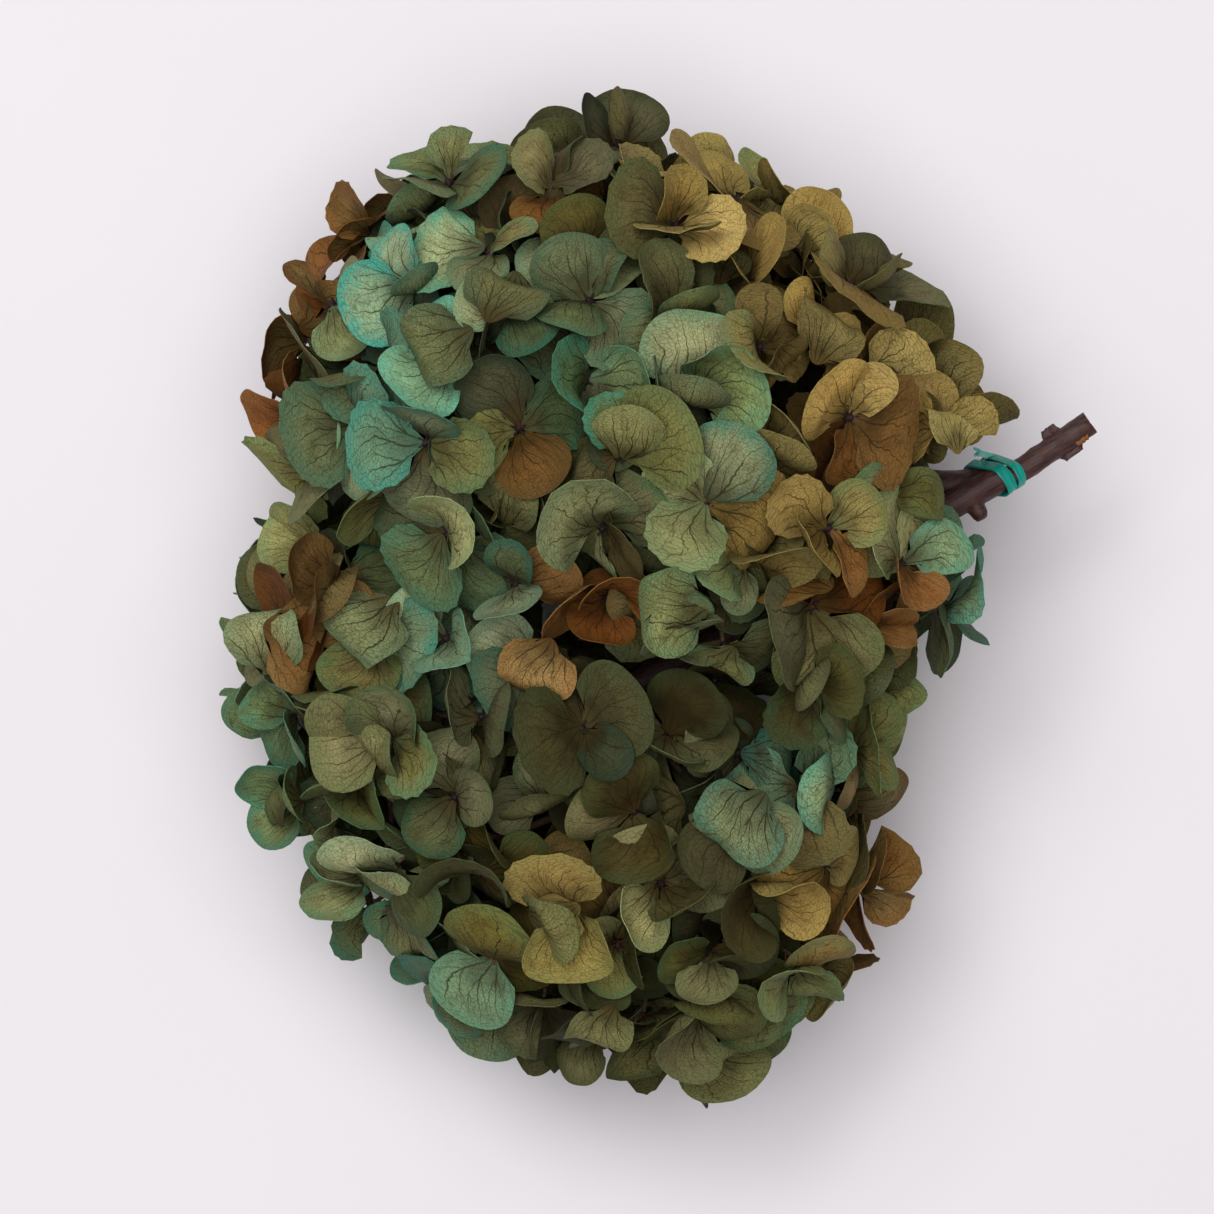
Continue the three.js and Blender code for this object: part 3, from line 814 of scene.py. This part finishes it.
def draw_sepal(eye, facing, lobe, turn, base_length, reach):
    """The best of a few tries for one sepal: its form, its place and its length."""
    frame_turn = axes(lobe, facing.cross(lobe), facing)
    is_inner = turn % 2
    best = None
    for attempt in range(MOST_TRIES):
        if attempt >= TRIES and best[0] < POOR:
            break
        name = chance.choice(COMMON if chance.random() < COMMON_SHARE else RARE)
        length = base_length * chance.uniform(*LENGTHS) * SHRINK**attempt
        size = Matrix.Diagonal((length * chance.uniform(*WIDTHS), length, length, 1))
        opening = math.radians(OPEN[is_inner] + chance.gauss(0, LEAN_SPREAD))
        lean = Matrix.Rotation(-opening, 4, "X")
        roll = Matrix.Rotation(math.radians(chance.gauss(0, ROLL_SPREAD)), 4, "Z")
        side_turn = math.radians(90 * turn + chance.gauss(0, TURN_SPREAD))
        around = Matrix.Rotation(side_turn, 4, "Z")
        step_out = Matrix.Translation((0, STEP_OUT, STEP_UP * is_inner))
        place = Matrix.Translation(eye) @ frame_turn @ around @ step_out @ lean @ roll @ size
        turned = np.array(place)
        points = points_of[name] @ turned[:3, :3].T + turned[:3, 3]
        tree = BVHTree.FromPolygons(points.tolist(), faces_of[name])
        middle = points.mean(axis=0)
        span = np.linalg.norm(points - middle, axis=1).max()
        count = len(trees)
        apart = ((middles[:count] - middle) ** 2).sum(axis=1)
        near = np.flatnonzero(apart < (NEARNESS * (spans[:count] + span)) ** 2)
        cost = sum(len(tree.overlap(trees[i])) for i in near)
        cost += OUTSIDE * max(0, (points @ ways - reach).max() - FREE)
        from_tie = points[:, :2] - tie_place
        along = from_tie @ stem_way
        off = np.linalg.norm(from_tie - np.outer(along, stem_way), axis=1)
        cost += STEM_COST * np.count_nonzero((along > -BARE_STEM) & (off < BARE_RADIUS))
        if best is None or cost < best[0]:
            best = (cost, name, place, middle, span, tree)
        if cost < 1:
            break
    middles[len(trees)], spans[len(trees)] = best[3:5]
    trees.append(best[5])
    return best[:3]


# %% Give a sepal its colours
PALE = "#a8a67c"  # where the dye has faded
PALEST = 0.62
DYED_AT = 0.6  # the dye is read this share of the way up a sepal
OWN_SHARES = [0.05, 0.1, 0.25, 0.4]
LIGHTS = (0.46, 1.36)
CLAWS = (0.35, 0.9)
RIM_PAINTED_LIGHT, RIM_LEAST = 1.06, 0.35  # painted light: an undyed rim is this much lighter than its body, as an edge catching light; and the least share of dye on the rim


def fill(mesh, name, value):
    """Gives every point of a mesh the same number or colour."""
    kind, field = ("FLOAT", "value") if len(value) == 1 else ("FLOAT_COLOR", "color")
    attribute = mesh.attributes.new(name, kind, "POINT")
    attribute.data.foreach_set(field, value * len(mesh.vertices))


def make_sepal(name, place, light):
    """A copy of a form at its place, coloured by the dye there and scaled by light: a random tone,
    with painted shade for the deeper florets.
    """
    sepal = copy_of(forms[name], "sepal")
    sepal.data.transform(place)
    (body, rim), warm = dye_at(place @ Vector((0, 0, DYED_AT)))
    other_body, other_rim = PALETTE[chance.choice(MUTED)]
    share = chance.choice(OWN_SHARES) * (1 - 0.7 * warm)
    body = blend(body, linear(other_body), share)
    rim = blend(rim, linear(other_rim), share)
    faded = PALEST * chance.random() ** 2 * (1 - warm)
    body = blend(body, linear(PALE), faded)
    light *= chance.uniform(*LIGHTS)
    dyed = chance.uniform(0.0, 1.0) ** 1.5 * (1 - 0.6 * warm)
    # the rim starts from the body lightened by painted light, then takes its share of dye
    rim = blend([c * RIM_PAINTED_LIGHT for c in body], rim, RIM_LEAST + (1 - RIM_LEAST) * dyed)
    fill(sepal.data, "body", [c * light for c in body[:3]] + [1.0])
    fill(sepal.data, "edge", [c * light for c in rim[:3]] + [1.0])
    fill(sepal.data, "claw", [chance.uniform(*CLAWS)])
    fill(sepal.data, "chance", [chance.random()])
    return sepal


# %% Florets of both layers
UNDER_DEPTH = 6.5 * MM
UNDER_SIZE = 0.8
# painted shade: the deeper florets' colours are darkened to this share, as if shaded by the florets
# over them
UNDER_PAINTED_SHADE = 0.34
FLORET_SIZES, MOODS = (0.88, 1.14), (0.85, 1.15)


def under_florets(florets):
    """Smaller, half-open florets that sit deeper, between each floret and its nearest neighbour."""
    found = []
    for eye, facing, lobe in florets:
        others = [other for other, _, _ in florets if other != eye]
        if others:
            nearest = min(others, key=lambda other: (other - eye).length)
            middle = eye + (nearest - eye) * 0.5
            found.append((middle - facing * UNDER_DEPTH, facing, facing.cross(lobe)))
    return found


clear = 0
eyes = {node: [] for node in sprays}
sepals = {node: [] for node in sprays}
for is_under in (False, True):
    # for the deeper florets, light is painted shade that darkens their colours
    size, light = (UNDER_SIZE, UNDER_PAINTED_SHADE) if is_under else (1, 1)
    for node, spray in sprays.items():
        florets = under_florets(spray["florets"]) if is_under else spray["florets"]
        reach = reaches[node[:7]]
        for outer_eye, facing, lobe in florets:
            eye = outer_eye - facing * SINK
            base_length = SEPAL_LENGTH * chance.uniform(*FLORET_SIZES) * size
            # each floret's random tone, times the painted shade of its layer
            floret_tone_and_painted_shade = chance.uniform(*MOODS) * light
            eyes[node].append((eye, facing, lobe))
            for turn in range(4):
                cost, name, place = draw_sepal(eye, facing, lobe, turn, base_length, reach)
                sepals[node].append((name, place, floret_tone_and_painted_shade))
                clear += cost < 1
print("sepals placed:", len(trees), "clear of all others:", clear)

# %% [markdown]
# ## Sprays
# A spray's sepals stay single sheets until they are ruffled together, and only then get their
# thickness, so that both sides ruffle alike. Low ones flatten on the table.
# The rim of a sheet is left sharp, because a dried sepal is as thin and crisp as paper.

# %% Build the sprays
SHEET = 0.17 * MM
CRISP = math.radians(50)
TABLE_GAP = 0.1 * MM
TABLE_REACH = 4 * MM  # sepals below this height start to flatten
BRANCHLET_RADIUS = 0.9 * MM
STALK_RADIUS = 0.5 * MM
BEND, LEAD = 0.4, 0.5  # how far a branchlet bends, and a stalk runs straight, before its end
RUFFLE_DEPTH = 2.8 * MM


def clouds(name, size, detail):
    """A soft noise that moves points."""
    texture = bpy.data.textures.new(name, type="CLOUDS")
    texture.noise_scale, texture.noise_depth = size, detail
    return texture


def unsettle(piece, texture, depth):
    """Moves a piece's points in and out by a soft noise."""
    settings = {"texture": texture, "texture_coords": "LOCAL", "mid_level": 0.5}
    apply(piece, "DISPLACE", strength=depth, **settings)


def rest_on_table(mesh):
    """Points near the table are eased up, so that none is below it."""
    span = TABLE_REACH - TABLE_GAP
    for vertex in mesh.vertices:
        if vertex.co.z < TABLE_REACH:
            vertex.co.z = TABLE_GAP + span * math.exp((vertex.co.z - TABLE_REACH) / span)


spray_pieces = []
ruffle = clouds("ruffle", 9 * MM, 1)
for node, spray in sprays.items():
    start, fork = spray["start"], spray["fork"]
    line, radii = skeleton("stalks", start, BRANCHLET_RADIUS)
    bend = fork + (start - fork) * BEND
    grow(line, radii, start, curve_points(start, fork, bend), BRANCHLET_RADIUS)
    buds = []
    for eye, facing, lobe in eyes[node]:
        flower_bud = copy_of(bud, "bud_copy")
        turn = axes(lobe, facing.cross(lobe), facing)
        flower_bud.data.transform(Matrix.Translation(eye) @ turn)
        buds.append(flower_bud)
        lead = eye - facing * LEAD * (eye - fork).length
        grow(line, radii, fork, curve_points(fork, eye, lead), STALK_RADIUS)
    stalks = skin(line, radii, STALK)
    sheet = combine([make_sepal(*drawn) for drawn in sepals[node]])
    coat(sheet, SEPAL_FACE, SEPAL_BACK)
    unsettle(sheet, ruffle, RUFFLE_DEPTH)
    rest_on_table(sheet.data)
    apply(sheet, "SOLIDIFY", thickness=SHEET, offset=0.0, material_offset=1)
    piece = combine([sheet, stalks, *buds])
    piece.name = node.replace("sprig", "spray")
    bpy.ops.object.shade_smooth_by_angle(angle=CRISP)
    spray_pieces.append(piece)
    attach(piece, "root")
    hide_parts(node)
faces = sum(len(piece.data.polygons) for piece in spray_pieces)
print("sprays:", len(spray_pieces), "faces:", faces)
for form in [*forms.values(), bud]:
    bpy.data.objects.remove(form)

# %% [markdown]
# ## Branches
# Five branches leave the top of each stem, like the ribs of an umbrella, and each ends in a
# swelling where its sprays start. They are deep inside the heads, seen only through gaps.

# %% Branches
BRANCH_RADIUS = 1.6 * MM
BRANCH_TIP = BRANCH_RADIUS * 0.85
HUB_RADIUS = 2.9 * MM
HUB_TIP = HUB_RADIUS * 0.7
ALONG_BRANCH = (0.3, 0.6, 0.85)
ALONG_SWELLING = (1.0, 1.08)
for node in sorted(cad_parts):
    if not node.startswith("ray_"):
        continue
    mesh = merged_copy(node)
    places = np.array([v.co for v in mesh.verts])
    mesh.free()
    hub = Vector(np.median(places, axis=0))
    root = max((Vector(p) for p in places), key=lambda p: (p - hub).length)
    line, radii = skeleton("branch", root, BRANCH_RADIUS)
    points = [root + (hub - root) * t for t in ALONG_BRANCH]
    grow(line, radii, root, points, BRANCH_TIP)
    swelling = [root + (hub - root) * t for t in ALONG_SWELLING]
    grow(line, radii, points[-1], swelling, HUB_RADIUS)
    radii[-2:] = HUB_RADIUS, HUB_TIP
    branch = skin(line, radii, STALK)
    branch.name = node.replace("ray", "branch")
    bpy.ops.object.shade_smooth()
    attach(branch, "root")
    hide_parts(node)
print("branches made")

# %% [markdown]
# ## Stems
# The stems' own solids have the right run and swellings. A copy is merged, remeshed into small even
# faces and softened, which thins it, so it is fattened again. The end past the tie is then trimmed
# as a knife would: what stands out is pared back to the stem's own radius, and the cut is made
# flat, leaning back a little. The torn bark that leaf stalks left is added as small ragged flaps.
# The second stem is cut off under the tie.

# %% Where the stems pass the tie
low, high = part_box("tie_band")
tie_middle = (low + high) / 2
AWAY = Vector((-STEM_LINE.y, STEM_LINE.x, 0)).normalized()  # level, square to the stems
NEAR_TIE = 12 * MM  # a stem's middle is read from this far on each side


def stem_middle(node):
    """Where a stem's centreline passes under the tie."""
    mesh = merged_copy(node)
    places = [v.co.copy() for v in mesh.verts]
    mesh.free()
    near = [place for place in places if abs((place - tie_middle).dot(STEM_LINE)) < NEAR_TIE]
    middle = sum(near, Vector()) / len(near)
    return middle - STEM_LINE * (middle - tie_middle).dot(STEM_LINE)


main_middle, second_middle = stem_middle("main_stem"), stem_middle("second_stem")
print("stems under the tie, mm apart:", round((main_middle - second_middle).length / MM, 2))

# %% Bark, pared and cut
VOXEL = 0.55 * MM
FATTEN = 0.55 * MM
PARED = 2.6 * MM  # the main stem's radius past the tie
END_ZONE = 9 * MM  # the end's own line is read from this much of it
CUT_BACK = 1.2 * MM  # the cut lies this far behind the old tip
CUT_REACH = 5.5 * MM  # faces this near the cut that look along the stem are moved onto it
CUT_SLANT = 0.2  # the cut leans back a little, so its wood shows from above
ENDWAYS, CUTWAYS = 0.45, 0.7  # a face of the end, and of the cut, looks at least this much along
LUMPS = 0.6 * MM
SECOND_END = 1.2  # mm past the middle of the tie
lumps = clouds("bark", 3.0 * MM, 3)


def bark_of(node):
    """A copy of a stem in small even faces."""
    stem = copy_of(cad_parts[node], node.replace("_stem", "_bark"))
    coat(stem, BARK, CUT_WOOD)
    pick(stem, lambda co: True)
    bpy.ops.mesh.remove_doubles(threshold=JOINED)
    leave()
    apply(stem, "REMESH", mode="VOXEL", voxel_size=VOXEL)
    apply(stem, "SMOOTH", factor=0.5, iterations=4)
    apply(stem, "DISPLACE", mid_level=0.0, strength=FATTEN)
    return stem


def pare(stem):
    """Pares the end past the tie and cuts it. Gives the cut's middle and the way it looks."""
    places = [v.co for v in stem.data.vertices]
    far = max((place - main_middle).dot(STEM_LINE) for place in places)
    tip = [place for place in places if (place - main_middle).dot(STEM_LINE) > far - END_ZONE]
    way = (sum(tip, Vector()) / len(tip) - main_middle).normalized()
    cut = max((place - main_middle).dot(way) for place in places) - CUT_BACK
    for vertex in stem.data.vertices:
        along = (vertex.co - main_middle).dot(way)
        if along < 0:
            continue
        out = vertex.co - main_middle - way * along
        if out.length > PARED:
            out *= PARED / out.length
        faces_end = vertex.normal.dot(way) > ENDWAYS and along > cut - CUT_REACH
        slant = cut - CUT_SLANT * out.z
        vertex.co = main_middle + out + way * (slant if faces_end or along > slant else along)
    stem.data.update()
    return main_middle + way * cut, way


def flap(name, middle, way, out, length, reach, seed):
    """A ragged flap of torn bark, standing out of a stem."""
    bpy.ops.mesh.primitive_grid_add(x_subdivisions=9, y_subdivisions=4, size=1)
    piece = settle(bpy.context.object)
    piece.name = name
    stretch(piece, lambda co: True, (length, reach, 1))
    pick(piece, lambda co: co.y > -0.3 * reach)
    bpy.ops.transform.vertex_random(offset=0.45 * MM, uniform=0.3, normal=0.4, seed=seed)
    leave()
    stretch(piece, lambda co: co.y > 0.2 * reach, (0.72, 1, 1))
    apply(piece, "SOLIDIFY", thickness=0.8 * MM, offset=0.0)
    apply(piece, "SUBSURF", levels=1, render_levels=1)
    turn = axes(way, out, way.cross(out).normalized())
    piece.data.transform(Matrix.Translation(middle + out * reach / 2) @ turn)
    coat(piece, BARK, CUT_WOOD)
    return piece


# %% Stems
FLAPS = {  # mm back from the cut, sideways and up, length, width, and a seed
    "flap_upper": (8.2, -1.9, 0, 4.2, 2.4, 3),
    "flap_lower": (6.6, 1.7, 0, 6.4, 2.2, 8),
    "scraped_wood": (3.6, 1.2, 1.5, 3.4, 1.5, 5),
}
main_bark = bark_of("main_stem")
cut_middle, way = pare(main_bark)
for face in main_bark.data.polygons:
    near_cut = (face.center - cut_middle).length < PARED * 1.3
    face.material_index = int(near_cut and face.normal.dot(way) > CUTWAYS)
unsettle(main_bark, lumps, LUMPS)
side = way.cross(Vector((0, 0, 1))).normalized()
flaps = []
for name, (back, aside, up, length, reach, seed) in FLAPS.items():
    place = cut_middle - way * back * MM + side * aside * MM + Vector((0, 0, up * MM))
    out = side if aside > 0 else -side
    flaps.append(flap(name, place, way, out, length * MM, reach * MM, seed))
for face in flaps[-1].data.polygons:
    face.material_index = 1
main_bark = combine([main_bark, *flaps])

second_bark = bark_of("second_stem")
pick(second_bark, lambda co: True)
end = second_middle + STEM_LINE * SECOND_END * MM
bpy.ops.mesh.bisect(plane_co=end, plane_no=STEM_LINE, use_fill=True, clear_outer=True)
leave()
unsettle(second_bark, lumps, LUMPS)
for stem, node in ((main_bark, "main_stem"), (second_bark, "second_stem")):
    choose(stem)
    bpy.ops.object.shade_smooth_by_angle(angle=CRISP)
    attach(stem, "root")
    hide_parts(node)
    print(node, "faces:", len(stem.data.polygons))

# %% [markdown]
# ## The tie
# A flat strip of teal plastic is wound twice round both stems, and its free end flares out.
# It is moulded ribbon: smooth, slightly glossy, with fine lines along it. Each turn starts as a
# ring of points, each moved out to the furthest bark that way, which is how a taut strip lies.

# %% Tie material
RIBBON = streaked_material(
    "polypropylene_ribbon_teal", "#027c70", "#10a796", (0.5 * MM, 12 * MM, 12 * MM),
    (3.0, 0.5, 0.7), (0.42, 0.28), 0.5, (0.5, 0.2 * MM),
)

# %% Wind the tie
RIBBON_STEPS = 6
RIDGE = 0.03  # share by which every second row stands out
WRAP_POINTS = 40
RIBBON_THICK = 0.32 * MM
SLACK = 0.3 * MM  # bark this far past the strip's edges still holds it out
bark_points = [v.co.copy() for stem in (main_bark, second_bark) for v in stem.data.vertices]
near_side = main_middle - AWAY * PARED


def ribbon_turn(name, shift, width, swing, bow, clearance):
    """One taut turn of ribbon: a ring of points pulled onto both stems' bark, then drawn out."""
    tilt = Matrix.Rotation(swing, 3, "Z") @ Matrix.Rotation(bow, 3, AWAY)
    way, across = tilt @ STEM_LINE, tilt @ AWAY
    up = way.cross(across)
    corner = near_side + STEM_LINE * shift
    under = [p - corner for p in bark_points if -SLACK < (p - corner).dot(way) < width + SLACK]
    bpy.ops.mesh.primitive_circle_add(vertices=WRAP_POINTS, radius=PARED)
    turn = bpy.context.object
    turn.name = name
    for vertex in turn.data.vertices:
        out = (across * vertex.co.x + up * vertex.co.y).normalized()
        held = max(under, key=lambda p: p.dot(out))
        vertex.co = corner + held - way * held.dot(way) + out * clearance
    middle = sum((v.co for v in turn.data.vertices), Vector()) / WRAP_POINTS
    upwards = across + up * 0.5
    top = max((v.co.copy() for v in turn.data.vertices), key=lambda p: (p - middle).dot(upwards))
    pick(turn, lambda co: True)
    step = way * width / RIBBON_STEPS
    for i in range(RIBBON_STEPS):
        bpy.ops.mesh.extrude_region_move(TRANSFORM_OT_translate={"value": step})
        ridge = 1 + (RIDGE if i % 2 == 0 else -RIDGE)
        here = middle + way * width * (i + 1) / RIBBON_STEPS
        bpy.ops.transform.resize(value=(ridge, ridge, ridge), center_override=here)
    bpy.ops.mesh.select_all(action="SELECT")
    bpy.ops.mesh.normals_make_consistent(inside=False)
    leave()
    apply(turn, "SMOOTH", factor=0.5, iterations=2)
    apply(turn, "SUBSURF", levels=1, render_levels=1)
    apply(turn, "SOLIDIFY", thickness=RIBBON_THICK, offset=1.0)
    return turn, top + way * width / 2


def ribbon_tail(start, way, length, width):
    """The free end: a strip that narrows at the knot, flares, and is split at its end."""
    bpy.ops.mesh.primitive_grid_add(x_subdivisions=10, y_subdivisions=4, size=1)
    tail = settle(bpy.context.object)
    stretch(tail, lambda co: True, (length, width, 1))
    pick(tail, lambda co: abs(co.y) < 0.1 * width and co.x > 0.2 * length)
    bpy.ops.transform.translate(value=(-0.22 * length, 0, 0))
    leave()
    stretch(tail, lambda co: co.x > 0.1 * length, (1, 1.3, 1))
    pick(tail, lambda co: co.x > 0.4 * length and co.y > 0.1 * width)
    bpy.ops.transform.translate(value=(-0.2 * length, 0.25 * width, 0))
    leave()
    apply(tail, "SOLIDIFY", thickness=RIBBON_THICK * 0.8, offset=0.0)
    across = Vector((0, 0, 1)).cross(way).normalized()
    turned = axes(way, across, way.cross(across))
    tail.data.transform(Matrix.Translation(start + way * length * 0.45) @ turned)
    return tail


turn_one, _ = ribbon_turn("turn_one", -2.5 * MM, 2.6 * MM, 0.16, 0.32, 0.15 * MM)
turn_two, knot = ribbon_turn("turn_two", 0.2 * MM, 2.0 * MM, 0.02, 0.38, 0.25 * MM)
tail = ribbon_tail(knot, Vector((-0.95, 0.28, 0.06)).normalized(), 4.6 * MM, 1.3 * MM)
tie = combine([turn_one, turn_two, tail])
tie.name = "ribbon_tie"
coat(tie, RIBBON)
bpy.ops.object.shade_smooth_by_angle(angle=CRISP)
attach(tie, "root")
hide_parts("tie_band")
print("tie faces:", len(tie.data.polygons))

# %% [markdown]
# ## Table and light
# A plain, nearly white table, a large soft light from the upper left, and a pale room that fills
# the shadows. Nothing here is part of the bunch.

# %% Table
def table_material():
    material, add = new_material("painted_table_matt")
    place = add(PLACE, {}, {}, 3)
    cloud = add(NOISE, {}, {"Vector": place, "Scale": 7.0, "Detail": 2.0})
    tones = {0: cloud, 6: linear("#e9e4e8"), 7: linear("#eeeaee")}
    colour = add(*COLOUR, tones, 2)
    close_material(add, colour, 0.8, 0.2)
    return material


bpy.ops.mesh.primitive_plane_add(size=4, location=(0, 0, -0.2 * MM))
table = settle(bpy.context.object)
table.name = "table"
coat(table, table_material())

# %% Light
AIM = Vector((0, 0, 0.04))


def soft_light(name, place, size, power):
    bpy.ops.object.light_add(type="AREA", location=place)
    light = bpy.context.object
    light.name = name
    light.data.size = size
    light.data.energy = power
    look = AIM - Vector(place)
    light.rotation_euler = look.to_track_quat("-Z", "Y").to_euler()


soft_light("key_light", (-0.7, 0.8, 1.9), 0.8, 10)
soft_light("overhead_light", (-0.15, 0.15, 2.3), 2.1, 48)
world = bpy.data.worlds.new("pale_room")
world.use_nodes = True
room = world.node_tree.nodes["Background"].inputs
room["Color"].default_value = linear("#f1eef2")
room["Strength"].default_value = 0.18
bpy.context.scene.world = world
bpy.context.scene.view_settings.view_transform = "Standard"

# %% [markdown]
# ## Size
# The size of the frame the bunch was built round is printed.

# %% Print the frame's size
print("frame, mm:", [[round(c / MM, 1) for c in corner] for corner in CAD_BOX])
